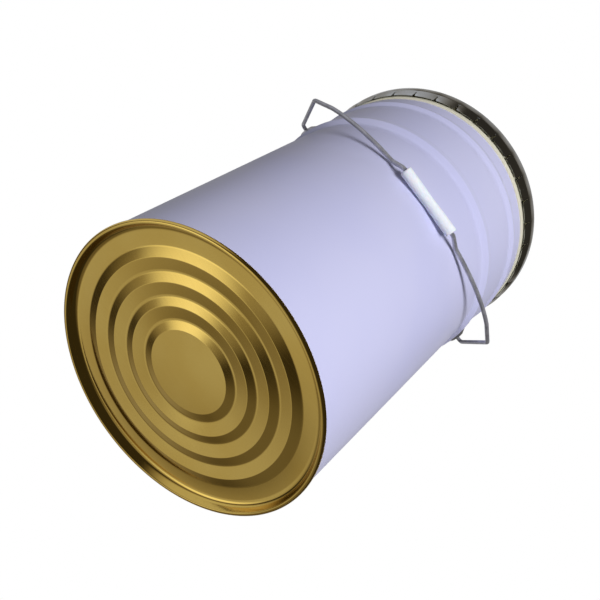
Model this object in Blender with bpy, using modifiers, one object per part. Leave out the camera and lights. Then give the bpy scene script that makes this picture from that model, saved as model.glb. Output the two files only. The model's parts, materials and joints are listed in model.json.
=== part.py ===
"""Straight-sided steel paint pail with a lug cover, a double-seamed bottom and a bail handle.

Metres, +Z up. The origin is the centre of the bottom seam, on the surface the pail stands on.
The bail hinges about the X axis line through the two ears and hangs down on the -Y side.
"""
import math

import bmesh
import bpy
from mathutils import Matrix, Vector

# Driving dimensions
SEAM_RADIUS = 0.1305                    # outside of the bottom double seam
HEIGHT = 3.285 * SEAM_RADIUS            # top of the cover's chime
SHEET = 0.0007                          # wall thickness of every pressed piece
GAP = 0.0003                            # clearance left between pieces that touch
SEGMENTS = 48                           # facets round every large turned piece

# Body, outer surface
BODY_BASE_RADIUS = 0.985 * SEAM_RADIUS
BODY_TOP_RADIUS = 0.991 * SEAM_RADIUS   # just below the lower bead
PANEL_RADIUS = 1.0135 * SEAM_RADIUS     # between the two beads
COLLAR_RADIUS = 1.015 * SEAM_RADIUS     # above the upper bead
LOWER_BEAD_Z = 2.335 * SEAM_RADIUS
UPPER_BEAD_Z = 2.848 * SEAM_RADIUS
BEAD_DIP = 0.0045 * SEAM_RADIUS         # a bead sinks by this below its shoulder
BEAD_HALF = 0.0032                      # half of the height of a bead's shoulder
RING_RADIUS = 1.026 * SEAM_RADIUS       # crest of the rolled ring under the cover
RING_Z = 3.087 * SEAM_RADIUS
RING_HALF = 0.0031
NECK_RADIUS = SEAM_RADIUS               # neck between the ring and the mouth, under the cover
MOUTH_Z = HEIGHT - 0.0034
MOUTH_RADIUS = NECK_RADIUS + 0.0029     # crest of the rolled mouth

# Bottom end
END_SHEET = 0.0009
PANEL_CREST_Z = 0.0056                  # outside face of the raised rings and the centre disc
PANEL_VALLEY_Z = 0.0076                 # outside face of the recesses between them
STEP_RADII = ((0.288, 0.350), (0.4435, 0.504), (0.597, 0.664), (0.7535, 0.819))
SEAM_HEIGHT = 0.0034
SEAM_FLOOR_Z = 0.0010                   # floor of the channel that holds the body's edge

# Cover
COVER_RADIUS = 1.058 * SEAM_RADIUS
COVER_PANEL_Z = HEIGHT - 0.0145         # top face of the sunk panel
LUG_COUNT = 34
LUG_TIP_Z = RING_Z + RING_HALF + 0.0006
LUG_TIP_RADIUS = 1.035 * SEAM_RADIUS
LUG_BEND_Z = HEIGHT - 0.0110
LUG_SLOT = 0.0026
LUG_SLOT_TOP_Z = HEIGHT - 0.0140

# Ears and bail
HINGE_Z = 2.597 * SEAM_RADIUS
EAR_RADIUS = 0.0200
EAR_CROWN = 1.060 * SEAM_RADIUS         # distance of the ear's crown from the pail's axis
EAR_HOLE_RADIUS = 0.0026
WIRE_RADIUS = 0.0021
WIRE_HEAD_RADIUS = 0.0034
WIRE_END = 1.030 * SEAM_RADIUS          # inner end of the wire, inside the ear
BAIL_SIDE = 1.108 * SEAM_RADIUS         # wire centre beside the ear
BAIL_CORNERS = {1: 1.150 * SEAM_RADIUS, -1: 1.110 * SEAM_RADIUS}    # the side bends differ a little
BAIL_BENDS = {1: 0.0080, -1: 0.0105}    # radius of each side bend
BAIL_HOOP = 1.283 * SEAM_RADIUS         # radius of the hoop about the hinge line's middle
BAIL_KINK = 0.370 * SEAM_RADIUS
BAIL_SADDLE = 0.288 * SEAM_RADIUS
BAIL_REACH = 1.335 * SEAM_RADIUS        # wire centre under the grip
GRIP_SHIFT = 0.020 * SEAM_RADIUS        # the grip sits this far to the +X side of the middle
BAIL_DROOP = math.radians(39.0)         # angle of the hanging bail below the horizontal
GRIP_LENGTH = 0.528 * SEAM_RADIUS
GRIP_RADIUS = 0.0055
GRIP_BORE = 0.0024


def clear_scene():
    for item in list(bpy.data.objects):
        bpy.data.objects.remove(item, do_unlink=True)


def new_collection(name):
    collection = bpy.data.collections.new(name)
    bpy.context.scene.collection.children.link(collection)
    return collection


def principled(name, colour, roughness, metallic):
    material = bpy.data.materials.new(name)
    material.use_nodes = True
    shader = material.node_tree.nodes["Principled BSDF"]
    shader.inputs["Base Color"].default_value = (*colour, 1.0)
    shader.inputs["Roughness"].default_value = roughness
    shader.inputs["Metallic"].default_value = metallic
    material.diffuse_color = (*colour, 1.0)
    return material


def add_object(name, data, collection, material=None):
    item = bpy.data.objects.new(name, data)
    collection.objects.link(item)
    if material:
        data.materials.append(material)
    return item


def profile_mesh(name, points, closed):
    """Edges through (radius, height) points in the XZ plane, on the +X side."""
    mesh = bpy.data.meshes.new(name)
    edges = [(i, i + 1) for i in range(len(points) - 1)]
    if closed:
        edges.append((len(points) - 1, 0))
    mesh.from_pydata([(radius, 0.0, height) for radius, height in points], edges, [])
    return mesh


def turned(name, points, collection, material, closed=True, steps=SEGMENTS):
    """Turn a profile about Z. It runs down its outer side, from top to bottom."""
    item = add_object(name, profile_mesh(name, points, closed), collection, material)
    screw = item.modifiers.new("turn", "SCREW")
    screw.steps = steps
    screw.render_steps = steps
    screw.use_merge_vertices = True
    screw.merge_threshold = 0.00002
    return item


def arc(radius, height, size, start, end, count):
    """Points on a circle of the given size about (radius, height), angles in degrees."""
    angles = [math.radians(start + (end - start) * i / (count - 1)) for i in range(count)]
    return [(radius + size * math.cos(a), height + size * math.sin(a)) for a in angles]


def bead(height, below, above, swell, thickness=0.0):
    """A shallow dip with a swollen shoulder over it, listed from top to bottom."""
    points = [(above, height + 0.0150), (swell, height + BEAD_HALF),
              (below - BEAD_DIP, height - BEAD_HALF), (below, height - 0.0200)]
    return [(radius - thickness, z) for radius, z in points]


def beads(thickness=0.0):
    """Both beads, from top to bottom."""
    upper_swell = COLLAR_RADIUS + 0.0016
    lower_swell = PANEL_RADIUS + 0.0006
    return (bead(UPPER_BEAD_Z, PANEL_RADIUS, COLLAR_RADIUS, upper_swell, thickness) +
            bead(LOWER_BEAD_Z, BODY_TOP_RADIUS, PANEL_RADIUS, lower_swell, thickness))


def body_shell(collection):
    foot_z = SEAM_FLOOR_Z + 0.0016
    outer = arc(MOUTH_RADIUS - 0.0016, MOUTH_Z - 0.0016, 0.0016, 90, -60, 4)
    outer += [(NECK_RADIUS, MOUTH_Z - 0.0048), (NECK_RADIUS, RING_Z + RING_HALF + 0.0002)]
    outer += arc(RING_RADIUS - RING_HALF, RING_Z, RING_HALF, 75, -45, 5)
    outer += [(COLLAR_RADIUS, RING_Z - RING_HALF)] + beads() + [(BODY_BASE_RADIUS, foot_z)]
    inner = [(BODY_BASE_RADIUS - SHEET, foot_z)] + beads(SHEET)[::-1]
    inner += [(COLLAR_RADIUS - SHEET, RING_Z - RING_HALF),
              (NECK_RADIUS - SHEET, RING_Z + RING_HALF - 0.0010), (NECK_RADIUS - SHEET, MOUTH_Z - 0.0016)]
    paint = principled("body_paint", (0.60, 0.61, 0.82), 0.35, 0.0)
    return turned("body_shell", outer + inner, collection, paint)


def bottom_end(collection):
    """Stepped panel, countersunk wall and the seam's channel, in one pressed sheet."""
    wall_outer = BODY_BASE_RADIUS - SHEET - GAP
    lip_inner = BODY_BASE_RADIUS + GAP
    wall_inner = wall_outer - END_SHEET
    panel_edge = wall_inner - 0.0016

    outside = [(panel_edge, PANEL_VALLEY_Z)]
    for inner_edge, outer_edge in reversed(STEP_RADII):
        outside.append((outer_edge * SEAM_RADIUS, PANEL_VALLEY_Z))
        outside.append((inner_edge * SEAM_RADIUS, PANEL_CREST_Z))
    outside.append((0.0, PANEL_CREST_Z))
    inside = [(radius, z + END_SHEET) for radius, z in reversed(outside)]

    channel = [(wall_outer - 0.0014, PANEL_VALLEY_Z - 0.0004), (wall_outer, SEAM_FLOOR_Z + 0.0010),
               (wall_outer, SEAM_FLOOR_Z),
               (lip_inner, SEAM_FLOOR_Z), (lip_inner, SEAM_HEIGHT)]
    rim = [(SEAM_RADIUS - 0.0003, SEAM_HEIGHT)]
    rim += arc(SEAM_RADIUS - 0.0010, 0.0010, 0.0010, 0, -90, 3)
    rim += arc(wall_inner + 0.0008, 0.0008, 0.0008, -90, -180, 3)
    lacquer = principled("gold_lacquer", (0.56, 0.40, 0.14), 0.28, 0.9)
    return turned("bottom_end", inside + channel + rim + outside, collection, lacquer, closed=False)


def ring_of(name, inner, outer, low, high, collection, material):
    points = [(inner, high), (outer, high), (outer, low), (inner, low)]
    return turned(name, points, collection, material)


def seam_compound(collection):
    rubber = principled("sealing_compound", (0.35, 0.33, 0.28), 0.8, 0.0)
    return ring_of("seam_compound", BODY_BASE_RADIUS - SHEET, BODY_BASE_RADIUS,
                   SEAM_FLOOR_Z + GAP, SEAM_FLOOR_Z + 0.0012, collection, rubber)


def lid_gasket(collection):
    foam = principled("gasket_foam", (0.75, 0.72, 0.62), 0.9, 0.0)
    return ring_of("lid_gasket", NECK_RADIUS - 0.0005, NECK_RADIUS + 0.0035,
                   MOUTH_Z + GAP, HEIGHT - SHEET - GAP, collection, foam)


def lug_slots(cutters):
    """Radial cutters for the slots between the lugs, joined in one mesh."""
    mesh = bpy.data.meshes.new("lug_slots")
    tool = bmesh.new()
    depth = 0.012
    height = LUG_SLOT_TOP_Z - LUG_TIP_Z + 0.004
    for index in range(LUG_COUNT):
        turn = Matrix.Rotation(2.0 * math.pi * (index + 0.5) / LUG_COUNT, 4, "Z")
        place = Matrix.Translation((COVER_RADIUS, 0.0, LUG_SLOT_TOP_Z - height / 2.0))
        size = Matrix.Diagonal((depth, LUG_SLOT, height, 1.0))
        bmesh.ops.create_cube(tool, size=1.0, matrix=turn @ place @ size)
    tool.to_mesh(mesh)
    tool.free()
    item = add_object("lug_slots", mesh, cutters)
    item.hide_render = True
    item.display_type = "WIRE"
    return item


def lid_cover(collection, cutters):
    plug = NECK_RADIUS - SHEET - 0.0007
    top = [(0.0, COVER_PANEL_Z), (0.42 * SEAM_RADIUS, COVER_PANEL_Z),
           (0.45 * SEAM_RADIUS, COVER_PANEL_Z + 0.0016), (0.78 * SEAM_RADIUS, COVER_PANEL_Z + 0.0016),
           (0.81 * SEAM_RADIUS, COVER_PANEL_Z), (plug - SHEET - 0.0014, COVER_PANEL_Z)]
    chime = [(plug - SHEET, COVER_PANEL_Z + 0.0014), (plug - SHEET, HEIGHT - 0.0012),
             (plug + 0.0006, HEIGHT), (COVER_RADIUS - 0.0014, HEIGHT), (COVER_RADIUS, HEIGHT - 0.0014)]
    skirt = [(COVER_RADIUS, LUG_BEND_Z), (LUG_TIP_RADIUS, LUG_TIP_Z)]
    under = [(LUG_TIP_RADIUS - SHEET, LUG_TIP_Z), (COVER_RADIUS - SHEET, LUG_BEND_Z),
             (COVER_RADIUS - SHEET, HEIGHT - SHEET - 0.0008), (COVER_RADIUS - SHEET - 0.0010, HEIGHT - SHEET),
             (plug + 0.0008, HEIGHT - SHEET), (plug, HEIGHT - 0.0016), (plug, COVER_PANEL_Z + 0.0010)]
    below = [(radius, z - SHEET) for radius, z in reversed(top)]
    tinplate = principled("tinplate", (0.62, 0.62, 0.64), 0.22, 1.0)
    item = turned("lid_cover", top + chime + skirt + under + below, collection, tinplate, closed=False)
    cut = item.modifiers.new("lug_slots", "BOOLEAN")
    cut.operation = "DIFFERENCE"
    cut.solver = "EXACT"
    cut.object = lug_slots(cutters)
    return item


def ear_profile():
    """Cross-section of the domed ear about its own axis, (radius, distance from the pail's axis)."""
    seat = PANEL_RADIUS + GAP
    flange = seat + 0.0010
    return [(EAR_HOLE_RADIUS, EAR_CROWN), (0.0065, EAR_CROWN), (0.0090, EAR_CROWN - 0.0010),
            (0.0150, flange + 0.0008), (EAR_RADIUS, flange), (EAR_RADIUS, seat),
            (0.0146, seat), (0.0084, EAR_CROWN - 0.0022), (0.0062, EAR_CROWN - 0.0010),
            (EAR_HOLE_RADIUS, EAR_CROWN - 0.0010)]


def ear(name, side, collection, material):
    """Domed ear, wrapped round the body on the +X side (side 1) or the -X side (side -1)."""
    guide = turned(name + "_guide", ear_profile(), collection, None, steps=24)
    graph = bpy.context.evaluated_depsgraph_get()
    mesh = bpy.data.meshes.new_from_object(guide.evaluated_get(graph))
    bpy.data.objects.remove(guide, do_unlink=True)
    to_side = Matrix.Rotation(side * math.pi / 2.0, 4, "Y")
    for vertex in mesh.vertices:
        point = to_side @ vertex.co
        wrap = PANEL_RADIUS - math.sqrt(PANEL_RADIUS ** 2 - point.y ** 2)
        vertex.co = point - Vector((side * wrap, 0.0, 0.0))
    mesh.name = name
    item = add_object(name, mesh, collection, material)
    item.location = (0.0, 0.0, HINGE_Z)
    return item


def fillet(before, corner, after, size, count):
    """Points of a round bend of the given radius at a corner of a flat path."""
    to_before = (before - corner).normalized()
    to_after = (after - corner).normalized()
    half = to_before.angle(to_after) / 2.0
    middle = corner + (to_before + to_after).normalized() * size / math.sin(half)
    start = corner + to_before * size / math.tan(half) - middle
    end = corner + to_after * size / math.tan(half) - middle
    return [middle + start.slerp(end, i / (count - 1)) * size for i in range(count)]


def bail_path(hand):
    """One half of the bail in its own plane, from the ear to the grip: X across, Y away from the hinge.

    hand is 1 for the half on the +X side and -1 for the other, which is returned mirrored.
    """
    shift = hand * GRIP_SHIFT
    bend_x, kink_x = BAIL_CORNERS[hand], BAIL_KINK + shift
    corner = Vector((bend_x, math.sqrt(BAIL_HOOP ** 2 - bend_x ** 2), 0.0))
    kink = Vector((kink_x, math.sqrt(BAIL_HOOP ** 2 - kink_x ** 2), 0.0))
    end, side = Vector((WIRE_END, 0.0, 0.0)), Vector((BAIL_SIDE, 0.0, 0.0))
    saddle, middle = Vector((BAIL_SADDLE + shift, BAIL_REACH, 0.0)), Vector((shift, BAIL_REACH, 0.0))
    start_angle = math.atan2(corner.x, corner.y)
    end_angle = math.atan2(kink.x, kink.y)
    steps = 14
    hoop = [Vector((math.sin(a), math.cos(a), 0.0)) * BAIL_HOOP for a in
            (start_angle + (end_angle - start_angle) * i / steps for i in range(steps + 1))]
    path = [end] + fillet(end, side, corner, 0.0045, 5)
    path += fillet(side, corner, hoop[2], BAIL_BENDS[hand], 5) + hoop[2:-1]
    path += fillet(hoop[-2], kink, saddle, 0.0060, 3) + fillet(kink, saddle, middle, 0.0050, 4)
    return path


def wire_mesh(name, points, radius):
    """A round wire along the points, as a mesh with welded end caps."""
    curve = bpy.data.curves.new(name, "CURVE")
    curve.dimensions = "3D"
    curve.bevel_depth = radius
    curve.bevel_resolution = 2
    curve.use_fill_caps = True
    spline = curve.splines.new("POLY")
    spline.points.add(len(points) - 1)
    for target, point in zip(spline.points, points):
        target.co = (*point, 1.0)
    guide = bpy.data.objects.new(name + "_guide", curve)
    bpy.context.scene.collection.objects.link(guide)
    graph = bpy.context.evaluated_depsgraph_get()
    mesh = bpy.data.meshes.new_from_object(guide.evaluated_get(graph))
    bpy.data.objects.remove(guide, do_unlink=True)
    tool = bmesh.new()
    tool.from_mesh(mesh)
    bmesh.ops.remove_doubles(tool, verts=tool.verts, dist=0.00001)
    tool.to_mesh(mesh)
    tool.free()
    mesh.name = name
    return mesh


def wire_heads(cutters):
    """The upset ends that keep the wire in the ears, joined on to the wire."""
    mesh = bpy.data.meshes.new("wire_heads")
    tool = bmesh.new()
    for side in (-1.0, 1.0):
        place = Matrix.Translation((side * (WIRE_END + 0.0004), 0.0, 0.0))
        turn = Matrix.Rotation(math.pi / 2.0, 4, "Y")
        bmesh.ops.create_cone(tool, cap_ends=True, segments=12, radius1=WIRE_HEAD_RADIUS,
                              radius2=WIRE_HEAD_RADIUS, depth=0.0016, matrix=place @ turn)
    tool.to_mesh(mesh)
    tool.free()
    item = add_object("wire_heads", mesh, cutters)
    item.hide_render = True
    item.display_type = "WIRE"
    return item


def bail(collection, cutters):
    """The wire and its grip hang from an empty on the hinge line, at the drooping angle."""
    path = bail_path(1) + [Vector((-point.x, point.y, 0.0)) for point in reversed(bail_path(-1))]
    steel = principled("galvanised_wire", (0.45, 0.46, 0.48), 0.35, 1.0)
    plastic = principled("grip_plastic", (0.80, 0.83, 0.86), 0.45, 0.0)

    hinge = bpy.data.objects.new("bail_hinge", None)
    collection.objects.link(hinge)
    hinge.location = (0.0, 0.0, HINGE_Z)
    hinge.rotation_euler = (math.pi + BAIL_DROOP, 0.0, 0.0)

    wire = add_object("bail_wire", wire_mesh("bail_wire", path, WIRE_RADIUS), collection, steel)
    wire.parent = hinge
    heads = wire_heads(cutters)
    heads.parent = hinge
    join = wire.modifiers.new("heads", "BOOLEAN")
    join.operation = "UNION"
    join.solver = "EXACT"
    join.object = heads

    half_length = GRIP_LENGTH / 2.0
    waist = GRIP_RADIUS - 0.0004
    section = [(GRIP_BORE, half_length), (GRIP_RADIUS - 0.0008, half_length),
               (GRIP_RADIUS, half_length - 0.0010), (GRIP_RADIUS, half_length * 0.45), (waist, 0.0),
               (GRIP_RADIUS, -half_length * 0.45), (GRIP_RADIUS, 0.0010 - half_length),
               (GRIP_RADIUS - 0.0008, -half_length), (GRIP_BORE, -half_length)]
    grip = turned("bail_grip", section, collection, plastic, steps=20)
    grip.parent = hinge
    grip.location = (GRIP_SHIFT, BAIL_REACH, 0.0)
    grip.rotation_euler = (0.0, math.pi / 2.0, 0.0)


def shade(collection):
    for item in collection.objects:
        if item.type == "MESH":
            item.data.shade_smooth()
            item.data.set_sharp_from_angle(angle=math.radians(35.0))


def main():
    clear_scene()
    parts = new_collection("paint_can")
    cutters = new_collection("cutters")
    body_shell(parts)
    bottom_end(parts)
    seam_compound(parts)
    lid_cover(parts, cutters)
    lid_gasket(parts)
    steel = principled("ear_steel", (0.62, 0.62, 0.68), 0.3, 1.0)
    ear("ear_right", 1, parts, steel)
    ear("ear_left", -1, parts, steel)
    bail(parts, cutters)
    shade(parts)


main()
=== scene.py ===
"""Looks of the paint pail: fine pressed-sheet meshes, materials, studio light and camera.

Metres, in the row frame: +Z up the pail's axis from the seam it stands on, X through the ears.
"""
import json
import math

import bpy
from mathutils import Matrix, Vector


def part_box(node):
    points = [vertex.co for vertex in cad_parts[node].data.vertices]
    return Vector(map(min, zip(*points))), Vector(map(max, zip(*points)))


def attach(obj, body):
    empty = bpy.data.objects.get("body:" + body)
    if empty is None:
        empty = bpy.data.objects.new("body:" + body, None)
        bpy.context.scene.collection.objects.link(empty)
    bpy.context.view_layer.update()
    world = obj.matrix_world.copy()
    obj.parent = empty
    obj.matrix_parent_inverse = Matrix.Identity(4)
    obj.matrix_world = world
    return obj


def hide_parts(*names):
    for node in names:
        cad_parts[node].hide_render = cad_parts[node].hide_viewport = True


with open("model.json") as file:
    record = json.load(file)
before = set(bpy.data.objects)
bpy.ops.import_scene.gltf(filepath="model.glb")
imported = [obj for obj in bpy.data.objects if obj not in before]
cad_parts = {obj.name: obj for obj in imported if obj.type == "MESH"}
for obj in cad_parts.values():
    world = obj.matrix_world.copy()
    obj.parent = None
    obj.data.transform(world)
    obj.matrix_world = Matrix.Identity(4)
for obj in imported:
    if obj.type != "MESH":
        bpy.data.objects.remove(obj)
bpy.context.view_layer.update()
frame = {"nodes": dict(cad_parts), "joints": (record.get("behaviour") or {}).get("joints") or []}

MM = 0.001
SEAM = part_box("bottom_end")[1].x                # outside radius of the bottom seam
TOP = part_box("lid_cover")[1].z                  # top of the cover's chime
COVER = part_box("lid_cover")[1].x                # outside radius of the cover
LUG_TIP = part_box("lid_cover")[0].z
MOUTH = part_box("body_shell")[1].z
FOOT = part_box("body_shell")[0].z
JOINTS = {joint["name"]: joint for joint in frame["joints"]}
HINGE = Vector(JOINTS["bail_hinge"]["pos_m"])
GRIP = Vector(JOINTS["grip_spin"]["pos_m"])
STEEL = 0.7 * MM                                # sheet thickness


# ---------------------------------------------------------------- mesh building

def rounded(corners, steps=5):
    """Corners (across, along, bend radius) as a smooth line of (across, along) points."""
    points = []
    for index, (x, y, size) in enumerate(corners):
        corner = Vector((x, y))
        if size == 0.0 or index in (0, len(corners) - 1):
            points.append(corner)
            continue
        back = Vector(corners[index - 1][:2]) - corner
        ahead = Vector(corners[index + 1][:2]) - corner
        half = back.angle(ahead) / 2.0
        if half > math.radians(89.5):
            points.append(corner)
            continue
        reach = min(size / math.tan(half), 0.49 * back.length, 0.49 * ahead.length)
        size = reach * math.tan(half)
        middle = corner + (back.normalized() + ahead.normalized()).normalized() * size / math.sin(half)
        start = corner + back.normalized() * reach - middle
        sweep = start.angle_signed(corner + ahead.normalized() * reach - middle)
        for step in range(steps):
            points.append(middle + Matrix.Rotation(-sweep * step / (steps - 1), 2) @ start)
    return points


def add_piece(name, mesh, body, slot, material, *nodes):
    piece = bpy.data.objects.new(name, mesh)
    bpy.context.scene.collection.objects.link(piece)
    mesh.materials.append(material)
    mesh.shade_smooth()
    mesh.set_sharp_from_angle(angle=math.radians(50.0))
    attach(piece, body)
    if nodes:
        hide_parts(*nodes)
    return piece


def revolve(name, outline, angles, place=None, open_cell=None):
    """A sheet turned about Z. place(radius, height, column) may move a point; open_cell leaves holes."""
    place = place or (lambda radius, height, column: (radius, height, angles[column]))
    mesh = bpy.data.meshes.new(name)
    verts, rows, faces = [], [], []
    for point in outline:
        if point.x < 1e-7:
            rows.append([len(verts)] * len(angles))
            verts.append((0.0, 0.0, point.y))
            continue
        row = []
        for column in range(len(angles)):
            radius, height, angle = place(point.x, point.y, column)
            row.append(len(verts))
            verts.append((radius * math.cos(angle), radius * math.sin(angle), height))
        rows.append(row)
    for index, (upper, lower) in enumerate(zip(rows, rows[1:])):
        for column in range(len(angles)):
            if open_cell and open_cell(index, column):
                continue
            after = (column + 1) % len(angles)
            corners = [upper[column], lower[column], lower[after], upper[after]]
            faces.append(list(dict.fromkeys(corners)))
    mesh.from_pydata(verts, [], faces)
    mesh.validate()
    return mesh


def full_circle(count):
    return [2.0 * math.pi * index / count for index in range(count)]


def thicken(piece, thickness):
    """Gives a sheet its thickness, inwards from its outer face, and smooths all but its edges."""
    sheet = piece.modifiers.new("sheet", "SOLIDIFY")
    sheet.thickness = thickness
    sheet.offset = -1.0
    sheet.use_even_offset = True
    graph = bpy.context.evaluated_depsgraph_get()
    mesh = bpy.data.meshes.new_from_object(piece.evaluated_get(graph))
    piece.modifiers.clear()
    piece.data = mesh
    mesh.shade_smooth()
    mesh.set_sharp_from_angle(angle=math.radians(40.0))
    return piece


# ---------------------------------------------------------------- materials

class Graph:
    """A short way to write a material's nodes."""

    def __init__(self, name):
        self.material = bpy.data.materials.new(name)
        self.material.use_nodes = True
        self.tree = self.material.node_tree
        self.shader = self.tree.nodes["Principled BSDF"]
        self.object_coords = self.tree.nodes.new("ShaderNodeTexCoord").outputs["Object"]

    def plug(self, value, socket):
        if isinstance(value, bpy.types.NodeSocket):
            self.tree.links.new(value, socket)
        else:
            socket.default_value = value

    def set(self, **inputs):
        for name, value in inputs.items():
            self.plug(value, self.shader.inputs[name.replace("_", " ")])

    def stretch(self, scale, turn=(0.0, 0.0, 0.0)):
        node = self.tree.nodes.new("ShaderNodeMapping")
        self.plug(self.object_coords, node.inputs["Vector"])
        node.inputs["Scale"].default_value = scale
        node.inputs["Rotation"].default_value = turn
        return node.outputs["Vector"]

    def noise(self, scale, detail=3.0, coords=None, roughness=0.5):
        node = self.tree.nodes.new("ShaderNodeTexNoise")
        self.plug(coords or self.object_coords, node.inputs["Vector"])
        node.inputs["Scale"].default_value = scale
        node.inputs["Detail"].default_value = detail
        node.inputs["Roughness"].default_value = roughness
        return node.outputs["Fac"]

    def math(self, operation, first, second=0.0, third=0.0):
        node = self.tree.nodes.new("ShaderNodeMath")
        node.operation = operation
        for socket, value in zip(node.inputs, (first, second, third)):
            self.plug(value, socket)
        return node.outputs[0]

    def span(self, value, low, high, to_low=0.0, to_high=1.0, smooth=True):
        node = self.tree.nodes.new("ShaderNodeMapRange")
        node.interpolation_type = "SMOOTHSTEP" if smooth else "LINEAR"
        for name, entry in zip(("Value", "From Min", "From Max", "To Min", "To Max"),
                               (value, low, high, to_low, to_high)):
            self.plug(entry, node.inputs[name])
        return node.outputs["Result"]

    def blend(self, factor, first, second):
        node = self.tree.nodes.new("ShaderNodeMix")
        node.data_type = "RGBA"
        self.plug(factor, node.inputs["Factor"])
        self.plug((*first, 1.0) if isinstance(first, tuple) else first, node.inputs["A"])
        self.plug((*second, 1.0) if isinstance(second, tuple) else second, node.inputs["B"])
        return node.outputs["Result"]

    def axes(self):
        node = self.tree.nodes.new("ShaderNodeSeparateXYZ")
        self.plug(self.object_coords, node.inputs[0])
        return node.outputs

    def attribute(self, name):
        node = self.tree.nodes.new("ShaderNodeAttribute")
        node.attribute_name = name
        return node.outputs["Fac"]

    def bump(self, height, distance, strength=1.0, below=None):
        node = self.tree.nodes.new("ShaderNodeBump")
        node.inputs["Distance"].default_value = distance
        node.inputs["Strength"].default_value = strength
        self.plug(height, node.inputs["Height"])
        if below:
            self.plug(below, node.inputs["Normal"])
        self.plug(node.outputs["Normal"], self.shader.inputs["Normal"])
        return node.outputs["Normal"]


# The body: lavender white outside, cream lacquer on the ring, the neck and the inside
PAINT = ((0.562, 0.570, 0.828), (0.585, 0.590, 0.832))
LACQUER = ((0.88, 0.85, 0.70), (0.80, 0.77, 0.60))
WELD_TINT = (0.43, 0.43, 0.52)


def paint_material():
    g = Graph("body_paint")
    x, y, _ = g.axes()
    tint = g.blend(g.span(g.noise(9.0, 2.0), 0.35, 0.65), *PAINT)
    weld = g.math("MULTIPLY", g.span(g.math("ABSOLUTE", x), 0.9 * MM, 1.5 * MM, 1.0, 0.0),
                  g.span(y, 0.0, 1.0 * MM))
    tint = g.blend(g.math("MULTIPLY", weld, 0.7), tint, WELD_TINT)
    lining = g.attribute("lining")
    cream = g.blend(g.noise(30.0), *LACQUER)
    peel = g.noise(520.0, 2.0)
    g.set(Base_Color=g.blend(lining, tint, cream),
          Roughness=g.span(g.noise(24.0, 4.0), 0.3, 0.7, 0.30, 0.38),
          Metallic=g.math("MULTIPLY", lining, 0.15))
    g.shader.inputs["Coat Weight"].default_value = 0.06
    g.shader.inputs["Coat Roughness"].default_value = 0.18
    level = g.bump(peel, 0.012 * MM)
    g.bump(weld, 0.10 * MM, below=level)
    return g.material


def sheet_metal(name, light, dark, roughness, grain_turn=0.0, spangle=0.35):
    """Bright rolled sheet: fine grain lines along one way, soft mottling and a few rub marks."""
    g = Graph(name)
    grain = g.noise(1.0, 3.0, g.stretch((38.0, 2300.0, 38.0), (0.0, 0.0, grain_turn)))
    cloud = g.noise(16.0, 4.0)
    rubs = g.span(g.noise(1.0, 2.0, g.stretch((60.0, 900.0, 60.0), (0.0, 0.0, grain_turn + 0.7))), 0.70, 0.78)
    tone = g.span(cloud, 0.5 - spangle / 2.0, 0.5 + spangle / 2.0)
    rough = g.math("ADD", g.span(grain, 0.3, 0.7, roughness - 0.03, roughness + 0.04),
                   g.math("MULTIPLY", rubs, 0.05))
    g.set(Base_Color=g.blend(tone, dark, light), Metallic=1.0,
          Roughness=g.math("ADD", rough, g.math("MULTIPLY", cloud, 0.03)))
    g.bump(grain, 0.004 * MM)
    return g.material


def plain_material(name, light, dark, roughness, grain, depth, metallic=0.0, **extra):
    """A material with a fine mottled tone and a matching bump."""
    g = Graph(name)
    fine = g.noise(grain, 4.0)
    wide = g.noise(grain / 9.0, 3.0)
    tone = g.math("MULTIPLY_ADD", fine, 0.5, g.math("MULTIPLY", wide, 0.5))
    g.set(Base_Color=g.blend(g.span(tone, 0.35, 0.65), dark, light), Metallic=metallic,
          Roughness=g.span(wide, 0.3, 0.7, roughness - 0.05, roughness + 0.07))
    for socket, value in extra.items():
        g.shader.inputs[socket.replace("_", " ")].default_value = value
    g.bump(fine, depth)
    return g.material


# ---------------------------------------------------------------- the pail

ROUND = 256                                     # columns of a full turn

RING_Z = 3.093 * SEAM                           # height of the rolled ring under the cover
RING_EDGE = RING_Z - 4.0 * MM                   # where the ring's cream lacquer ends
PANEL = 1.0135 * SEAM                           # radius between the two beads
COLLAR = 1.015 * SEAM                           # radius between the upper bead and the ring
NECK = SEAM                                     # radius above the ring


def body_outline():
    """Outside of the body, from the rolled mouth down."""
    foot, shoulder = 0.985 * SEAM, 0.991 * SEAM
    # The sheet thickens to the roll's outside, so the roll is drawn one sheet smaller
    crest, roll = MOUTH - STEEL, NECK + 2.9 * MM - STEEL
    curl = [(NECK + 0.1 * MM, crest - 3.3 * MM, 0.0), (NECK + 1.1 * MM, crest - 3.6 * MM, 0.6 * MM),
            (roll, crest - 2.9 * MM, 0.9 * MM), (roll, crest, 1.1 * MM),
            (NECK - 0.2 * MM, crest, 1.1 * MM), (NECK - 0.1 * MM, crest - 3.3 * MM, 0.6 * MM)]
    ring = [(NECK, RING_Z + 2.6 * MM, 0.6 * MM), (NECK + 3.3 * MM, RING_Z + 2.5 * MM, 2.0 * MM),
            (NECK + 3.3 * MM, RING_Z - 3.9 * MM, 2.0 * MM), (COLLAR - 1.0 * MM, RING_EDGE, 0.4 * MM)]
    upper = [(COLLAR, RING_Z - 6.0 * MM, 1.2 * MM), (COLLAR, 2.925 * SEAM, 12 * MM),
             (COLLAR + 2.3 * MM, 2.868 * SEAM, 2.5 * MM), (PANEL - 1.2 * MM, 2.834 * SEAM, 4 * MM),
             (PANEL, 2.765 * SEAM, 20 * MM)]
    lower = [(PANEL, 2.425 * SEAM, 12 * MM), (PANEL + 1.2 * MM, 2.358 * SEAM, 2.5 * MM),
             (shoulder - 1.1 * MM, 2.318 * SEAM, 4 * MM), (shoulder, 2.235 * SEAM, 20 * MM),
             (foot, FOOT, 0.0)]
    return rounded(curl + ring + upper + lower, 7)


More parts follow.
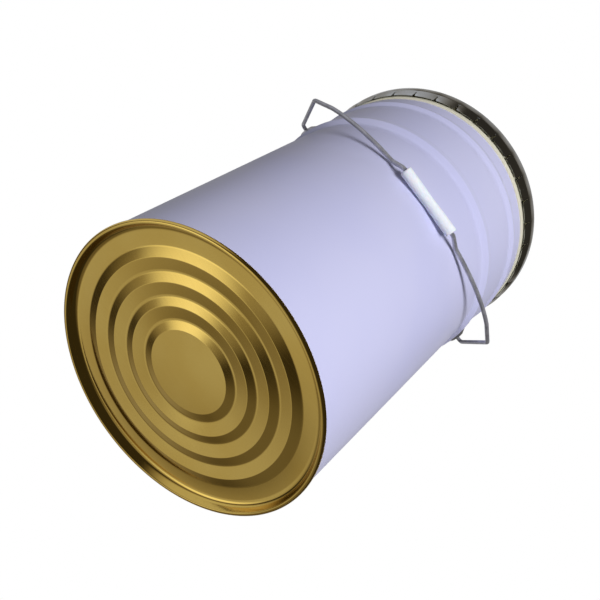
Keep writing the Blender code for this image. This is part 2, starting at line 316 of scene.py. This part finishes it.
def build_body():
    mesh = revolve("body", body_outline(), full_circle(ROUND))
    body = thicken(add_piece("body", mesh, "pail", "body_paint", paint_material(), "body_shell"), STEEL)
    lining = body.data.attributes.new("lining", "FLOAT", "FACE")
    for face in body.data.polygons:
        inside = face.normal.x * face.center.x + face.normal.y * face.center.y < 0.0
        lining.data[face.index].value = 1.0 if inside or face.center.z > RING_EDGE else 0.0


# The bottom's pressed steps, in seam radii: from a crest's edge to a valley's
STEPS = ((0.288, 0.350), (0.4435, 0.504), (0.597, 0.664), (0.7535, 0.819))
GOLD = ((0.95, 0.670, 0.175), (0.90, 0.615, 0.145))


def build_bottom():
    crest, valley, seam_top = 5.6 * MM, 7.6 * MM, 3.2 * MM
    corners = [(0.0, crest, 0.0)]
    for inner, outer in STEPS:
        corners += [(inner * SEAM, crest, 2.5 * MM), (outer * SEAM, valley, 8.0 * MM)]
    edge = SEAM - 0.3 * MM
    corners += [(0.925 * SEAM, valley, 9.0 * MM), (0.951 * SEAM, valley - 1.4 * MM, 4.0 * MM),
                (SEAM - 4.0 * MM, 0.0, 1.2 * MM),
                (edge, 0.0, 1.6 * MM), (edge, seam_top, 0.6 * MM), (SEAM - 1.8 * MM, seam_top, 0.3 * MM),
                (SEAM - 1.7 * MM, 1.4 * MM, 0.0)]
    mesh = revolve("bottom", rounded(corners, 5), full_circle(ROUND))
    mesh.flip_normals()
    gold = sheet_metal("gold_lacquer", *GOLD, 0.10, grain_turn=0.65)
    thicken(add_piece("bottom", mesh, "pail", "gold_lacquer", gold, "bottom_end"), STEEL)


# ---------------------------------------------------------------- the cover

LUGS = 34
SLOT_CELLS = 4
LUG_CELLS = 10
SLOT_TOP = TOP - 14.0 * MM
EDGE_START = TOP - 3.0 * MM                     # below this the lugs' edges turn in
EDGE_RUN = 9.0 * MM                             # height over which they turn in fully
LUG_CORNER = 4.0 * MM                           # height of the rounding at the lugs' tips
TIN = ((0.80, 0.82, 0.85), (0.68, 0.70, 0.73))


def lug_columns():
    """For each column of the skirt: the slot or lug it is in and where it is across that, -1 to 1."""
    columns = []
    for lug in range(LUGS):
        columns += [(lug, "slot", 2.0 * i / SLOT_CELLS - 1.0) for i in range(SLOT_CELLS)]
        columns += [(lug, "lug", 2.0 * i / LUG_CELLS - 1.0) for i in range(LUG_CELLS)]
    return columns


def build_cover():
    plug = NECK - 1.4 * MM
    panel = TOP - 14.5 * MM
    corners = [(0.0, panel, 0.0), (0.42 * SEAM, panel, 3 * MM), (0.45 * SEAM, panel + 1.6 * MM, 3 * MM),
               (0.78 * SEAM, panel + 1.6 * MM, 3 * MM), (0.81 * SEAM, panel, 3 * MM),
               (plug - STEEL, panel, 2 * MM), (plug - STEEL, TOP, 1.3 * MM), (COVER, TOP, 1.7 * MM),
               (COVER, TOP - 11.0 * MM, 5 * MM)]
    outline = rounded(corners + [(COVER - 3.0 * MM, LUG_TIP, 0.0)], 6)
    bend = outline.pop()
    rows = 12
    start = outline[-1]
    outline += [start.lerp(bend, (step + 1) / rows) for step in range(rows)]
    slot_row = min(i for i, point in enumerate(outline) if point.x > plug and point.y < SLOT_TOP)
    columns = lug_columns()
    pitch = 2.0 * math.pi / LUGS
    first = outline[slot_row].y

    def place(radius, height, column):
        lug, kind, across = columns[column]
        skirt = radius > plug + 2 * MM and height < TOP - 1.0 * MM
        down = min(1.0, max(0.0, (first - height) / (first - LUG_TIP))) if skirt else 0.0
        half_slot = (0.5 + 1.3 * down * down) * MM / COVER
        middle = (lug + 0.5) * pitch
        if kind == "slot":
            angle = lug * pitch + across * half_slot
            if skirt and abs(height - first) < 1e-6:
                height += 1.5 * MM * (1.0 - across * across)
            edge = 1.0
        else:
            angle = middle + across * (pitch / 2.0 - half_slot)
            edge = abs(across)
        if skirt:
            reach = min(1.0, max(0.0, (EDGE_START - height) / EDGE_RUN))
            radius -= 0.5 * MM * edge ** 2 * reach * reach
            if height - LUG_TIP < LUG_CORNER and kind == "lug":
                height += 1.2 * MM * edge ** 4 * (1.0 - (height - LUG_TIP) / LUG_CORNER)
        return radius, height, angle

    def open_cell(row, column):
        return row >= slot_row and columns[column][1] == "slot"

    mesh = revolve("cover", outline, [0.0] * len(columns), place, open_cell)
    tin = sheet_metal("tinplate", *TIN, 0.13, grain_turn=0.2)
    thicken(add_piece("cover", mesh, "lid", "tinplate", tin, "lid_cover"), STEEL)


# ---------------------------------------------------------------- ears and bail

EAR_SHEET = 0.8 * MM
EAR_STEEL = ((0.66, 0.66, 0.72), (0.55, 0.55, 0.60))


def build_ear(node, side):
    seat = PANEL + 0.3 * MM
    low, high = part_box(node)
    crown = high.x if side > 0 else -low.x
    reach = (high.y - low.y) / 2.0
    corners = [(2.6 * MM, crown - 0.9 * MM, 0.0), (2.6 * MM, crown, 0.5 * MM), (6.8 * MM, crown, 3 * MM),
               (14.6 * MM, seat + 1.2 * MM, 3.5 * MM), (reach, seat + 1.0 * MM, 0.5 * MM),
               (reach, seat + 0.1 * MM, 0.0)]
    mesh = revolve(node + "_skin", rounded(corners, 7), full_circle(64))
    to_side = Matrix.Rotation(side * math.pi / 2.0, 4, "Y")
    for vertex in mesh.vertices:
        point = to_side @ vertex.co
        wrap = PANEL - math.sqrt(PANEL ** 2 - point.y ** 2)
        vertex.co = point - Vector((side * wrap, 0.0, -HINGE.z))
    steel = bpy.data.materials.get("ear_steel") or sheet_metal("ear_steel", *EAR_STEEL, 0.24)
    thicken(add_piece(node + "_skin", mesh, "pail", "ear_steel", steel, node), EAR_SHEET)


WIRE = 2.1 * MM                                 # radius of the wire
HOOP = 1.283 * SEAM                             # radius of the hoop about the hinge line's middle
DROOP = math.radians(39.0)                      # how far the resting hoop slopes down
# The two halves differ a little: keys are 1 for +X and -1 for -X
CORNERS = {1: 1.150 * SEAM, -1: 1.110 * SEAM}
SIDE_BENDS = {1: 8.0 * MM, -1: 10.5 * MM}
GRIP_SHIFT = 0.020 * SEAM
GRIP_LINE = 1.335 * SEAM                        # the grip's distance from the hinge


def bail_half(hand):
    """Half of the bail's centreline in its own plane, ear to grip: (across, away from the hinge)."""
    shift = hand * GRIP_SHIFT
    bend_x, kink_x = CORNERS[hand], 0.370 * SEAM + shift
    corner = Vector((bend_x, math.sqrt(HOOP ** 2 - bend_x ** 2)))
    kink = Vector((kink_x, math.sqrt(HOOP ** 2 - kink_x ** 2)))
    start, end = (math.atan2(point.x, point.y) for point in (corner, kink))
    steps = 40
    # The hoop's ends are left out, as room for the bends there
    hoop = [(math.sin(a) * HOOP, math.cos(a) * HOOP, 0.0) for a in
            (start + (end - start) * i / steps for i in range(11, steps - 3))]
    half = [(1.030 * SEAM, 0.0, 0.0), (1.108 * SEAM, 0.0, 4.5 * MM), (*corner, SIDE_BENDS[hand])] + hoop
    half += [(*kink, 6.0 * MM), (0.288 * SEAM + shift, GRIP_LINE, 5.0 * MM), (shift, GRIP_LINE, 0.0)]
    return rounded(half, 9)


def build_wire():
    line = bail_half(1) + [Vector((-point.x, point.y)) for point in reversed(bail_half(-1)[:-1])]
    curve = bpy.data.curves.new("wire", "CURVE")
    curve.dimensions = "3D"
    curve.bevel_depth = WIRE
    curve.bevel_resolution = 6
    curve.use_fill_caps = True
    spline = curve.splines.new("POLY")
    spline.points.add(len(line) - 1)
    down = Vector((0.0, -math.cos(DROOP), -math.sin(DROOP)))
    for target, point in zip(spline.points, line):
        target.co = (*(HINGE + Vector((point.x, 0.0, 0.0)) + down * point.y), 1.0)
    guide = bpy.data.objects.new("wire_guide", curve)
    bpy.context.scene.collection.objects.link(guide)
    graph = bpy.context.evaluated_depsgraph_get()
    mesh = bpy.data.meshes.new_from_object(guide.evaluated_get(graph))
    bpy.data.objects.remove(guide)
    mesh.materials.clear()
    zinc = plain_material("galvanised_wire", (0.58, 0.58, 0.64), (0.36, 0.36, 0.41), 0.34,
                          900.0, 0.01 * MM, metallic=0.6)
    return add_piece("wire", mesh, "bail", "galvanised_wire", zinc, "bail_wire")


def build_grip():
    low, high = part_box("bail_grip")
    half, radius = (high.x - low.x) / 2.0, (high.y - low.y) / 2.0
    bore = 2.4 * MM
    waist = radius - 0.35 * MM
    corners = [(bore, half - 3 * MM, 0.0), (bore, half, 0.4 * MM), (radius, half, 1.2 * MM),
               (radius, half * 0.5, 20 * MM), (waist, 0.0, 30 * MM), (radius, -half * 0.5, 20 * MM),
               (radius, -half, 1.2 * MM), (bore, -half, 0.4 * MM), (bore, 3 * MM - half, 0.0)]
    mesh = revolve("grip", rounded(corners, 6), full_circle(48))
    across = Matrix.Rotation(math.pi / 2.0, 4, "Y")
    middle = Vector(((low.x + high.x) / 2.0, GRIP.y, GRIP.z))
    mesh.transform(Matrix.Translation(middle) @ across)
    plastic = plain_material("grip_plastic", (0.86, 0.90, 0.96), (0.78, 0.83, 0.91), 0.42, 260.0,
                             0.02 * MM, Subsurface_Weight=0.15, Subsurface_Scale=0.002)
    return add_piece("grip", mesh, "grip", "grip_plastic", plastic, "bail_grip")


# ---------------------------------------------------------------- studio

def soft_box(world, bearing, elevation, half_angle, edge, strength):
    """A round soft box in the world, as a strength that is zero outside it."""
    rise = math.radians(elevation)
    turn = math.radians(bearing)
    nodes, links = world.node_tree.nodes, world.node_tree.links
    dot = nodes.new("ShaderNodeVectorMath")
    dot.operation = "DOT_PRODUCT"
    level = math.cos(rise)
    dot.inputs[1].default_value = (math.sin(turn) * level, math.cos(turn) * level, math.sin(rise))
    links.new(nodes["Texture Coordinate"].outputs["Generated"], dot.inputs[0])
    box = nodes.new("ShaderNodeMapRange")
    box.interpolation_type = "SMOOTHSTEP"
    box.inputs["From Min"].default_value = math.cos(math.radians(half_angle + edge))
    box.inputs["From Max"].default_value = math.cos(math.radians(max(0.0, half_angle - edge)))
    box.inputs["To Max"].default_value = strength
    links.new(dot.outputs["Value"], box.inputs["Value"])
    return box.outputs["Result"]


# The studio's soft boxes, in degrees: bearing from +Y towards +X, elevation, half angle, edge
# width; then strength. The far side is +Y, away from the camera
SOFT_BOXES = ((-12, -46, 13, 9, 0.36),     # low on the far side: mirrored by the flats of the bottom
              (-30, -55, 8, 8, 0.60),      # beside it, for the bright band across the steps
              (-45, -70, 15, 10, 0.25),    # its glow
              (0, -18, 12, 8, 0.12),       # on the far side, less low
              (25, -40, 12, 12, 0.10),     # low on the far side, to the right
              (-90, 0, 45, 15, 0.45),      # the whole left side
              (0, 90, 20, 15, 0.35),       # overhead
              (0, 35, 40, 20, 0.35))       # high on the far side
AMBIENT = 0.03                             # strength of the world outside the soft boxes
PAINT_SHARE = 0.5                          # part of the world's strength that diffuse rays get
DIM, BRIGHT = 0.05, 0.45                   # strengths between which the world's tint changes
DIM_TINT = (1.0, 0.86, 0.63, 1.0)
BRIGHT_TINT = (1.0, 1.02, 1.05, 1.0)


def build_world():
    world = bpy.data.worlds.new("studio")
    bpy.context.scene.world = world
    world.use_nodes = True
    nodes, links = world.node_tree.nodes, world.node_tree.links
    nodes.new("ShaderNodeTexCoord").name = "Texture Coordinate"
    total = None
    for box in SOFT_BOXES:
        lit = soft_box(world, *box)
        add = nodes.new("ShaderNodeMath")
        add.operation = "ADD"
        links.new(lit, add.inputs[0])
        add.inputs[1].default_value = AMBIENT
        if total:
            links.new(total, add.inputs[1])
        total = add.outputs[0]
    seen = nodes.new("ShaderNodeLightPath")
    background = nodes["Background"]
    show = nodes.new("ShaderNodeMix")
    # Diffuse rays get a share of the world's light, and the lamps add the rest
    softer = nodes.new("ShaderNodeMapRange")
    softer.inputs["To Min"].default_value = 1.0
    softer.inputs["To Max"].default_value = PAINT_SHARE
    links.new(seen.outputs["Is Diffuse Ray"], softer.inputs["Value"])
    spread = nodes.new("ShaderNodeMath")
    spread.operation = "MULTIPLY"
    links.new(total, spread.inputs[0])
    links.new(softer.outputs["Result"], spread.inputs[1])
    links.new(seen.outputs["Is Camera Ray"], show.inputs["Factor"])
    links.new(spread.outputs["Value"], show.inputs["A"])
    show.inputs["B"].default_value = 1.0
    links.new(show.outputs["Result"], background.inputs["Strength"])
    warm = nodes.new("ShaderNodeMapRange")
    warm.inputs["From Min"].default_value = DIM
    warm.inputs["From Max"].default_value = BRIGHT
    links.new(total, warm.inputs["Value"])
    colour = nodes.new("ShaderNodeMix")
    colour.data_type = "RGBA"
    colour.inputs["A"].default_value = DIM_TINT
    colour.inputs["B"].default_value = BRIGHT_TINT
    links.new(warm.outputs["Result"], colour.inputs["Factor"])
    neutral = nodes.new("ShaderNodeMix")
    neutral.data_type = "RGBA"
    neutral.inputs["B"].default_value = (1.0, 1.0, 1.0, 1.0)
    links.new(seen.outputs["Is Camera Ray"], neutral.inputs["Factor"])
    links.new(colour.outputs["Result"], neutral.inputs["A"])
    links.new(neutral.outputs["Result"], background.inputs["Color"])


def build_floor():
    """A pale floor that the camera sees only from above."""
    mesh = bpy.data.meshes.new("floor")
    half = 6.0
    corners = [(-half, -half, 0), (half, -half, 0), (half, half, 0), (-half, half, 0)]
    mesh.from_pydata(corners, [], [(0, 1, 2, 3)])
    floor = bpy.data.objects.new("floor", mesh)
    bpy.context.scene.collection.objects.link(floor)
    floor.location.z = -0.2 * MM
    g = Graph("floor")
    g.set(Base_Color=g.blend(g.noise(3.0), (0.30, 0.30, 0.30), (0.33, 0.33, 0.33)), Roughness=0.8)
    g.shader.inputs["Emission Color"].default_value = (1.0, 1.0, 1.0, 1.0)
    g.shader.inputs["Emission Strength"].default_value = 0.80
    tree = g.tree
    side = tree.nodes.new("ShaderNodeNewGeometry")
    clear = tree.nodes.new("ShaderNodeBsdfTransparent")
    mix = tree.nodes.new("ShaderNodeMixShader")
    tree.links.new(side.outputs["Backfacing"], mix.inputs[0])
    tree.links.new(g.shader.outputs[0], mix.inputs[1])
    tree.links.new(clear.outputs[0], mix.inputs[2])
    tree.links.new(mix.outputs[0], tree.nodes["Material Output"].inputs["Surface"])
    mesh.materials.append(g.material)
    for ray in ("diffuse", "glossy", "transmission", "volume_scatter", "shadow"):
        setattr(floor, "visible_" + ray, False)


def add_light(name, direction, size, power):
    """A round lamp aimed at the pail's middle, which metal and coat don't mirror."""
    data = bpy.data.lights.new(name, "AREA")
    data.shape = "DISK"
    data.size = size
    data.energy = power
    light = bpy.data.objects.new(name, data)
    bpy.context.scene.collection.objects.link(light)
    middle = Vector((0.0, 0.0, TOP / 2.0))
    light.location = middle + Vector(direction).normalized() * LAMP_DISTANCE
    light.rotation_euler = (middle - light.location).to_track_quat("-Z", "Y").to_euler()
    light.visible_camera = False
    light.visible_glossy = False


# The camera is below the pail, on the bail's side, rolled about its line of sight
CAMERA_PLACE = Vector((0.0442, -4.1479, -3.4469)) * SEAM
CAMERA_TILT = math.radians(48.72)
CAMERA_ROLL = math.radians(53.89)
CAMERA_LENS = 52.76


LAMP_DISTANCE = 3.0
KEY_SIZE = 1.1
FILL_SIZE = 2.4
# Lamps: name, direction from the pail, diameter, power
LAMPS = (("key", (0.33, -0.88, -0.34), KEY_SIZE, 92.0),
         ("fill_left", (-1.0, -0.2, 0.25), FILL_SIZE, 8.0),
         ("fill_right", (1.0, 0.1, 0.25), FILL_SIZE, 16.0),
         ("fill_back", (-0.1, 1.0, 0.45), FILL_SIZE, 60.0),
         ("fill_top", (0.1, -0.1, 1.0), FILL_SIZE, 25.0))


def build_camera():
    data = bpy.data.cameras.new("camera")
    data.lens = CAMERA_LENS
    data.sensor_width = 36.0
    camera = bpy.data.objects.new("camera", data)
    bpy.context.scene.collection.objects.link(camera)
    look = Matrix.Rotation(math.pi / 2.0 + CAMERA_TILT, 4, "X") @ Matrix.Rotation(CAMERA_ROLL, 4, "Z")
    camera.matrix_world = Matrix.Translation(CAMERA_PLACE) @ look
    bpy.context.scene.camera = camera


def main():
    build_body()
    build_bottom()
    build_cover()
    build_ear("ear_right", 1)
    build_ear("ear_left", -1)
    build_wire()
    build_grip()
    hidden = {"seam_compound": plain_material("sealing_compound", (0.42, 0.40, 0.34), (0.30, 0.28, 0.24),
                                              0.80, 400.0, 0.03 * MM),
              "lid_gasket": plain_material("gasket_foam", (0.80, 0.77, 0.66), (0.66, 0.62, 0.50), 0.90,
                                           700.0, 0.08 * MM)}
    for name, material in hidden.items():
        for slot in frame["nodes"][name].material_slots:
            slot.material = material
    build_world()
    build_floor()
    for lamp in LAMPS:
        add_light(*lamp)
    build_camera()
    bpy.context.scene.view_settings.view_transform = "Standard"


main()
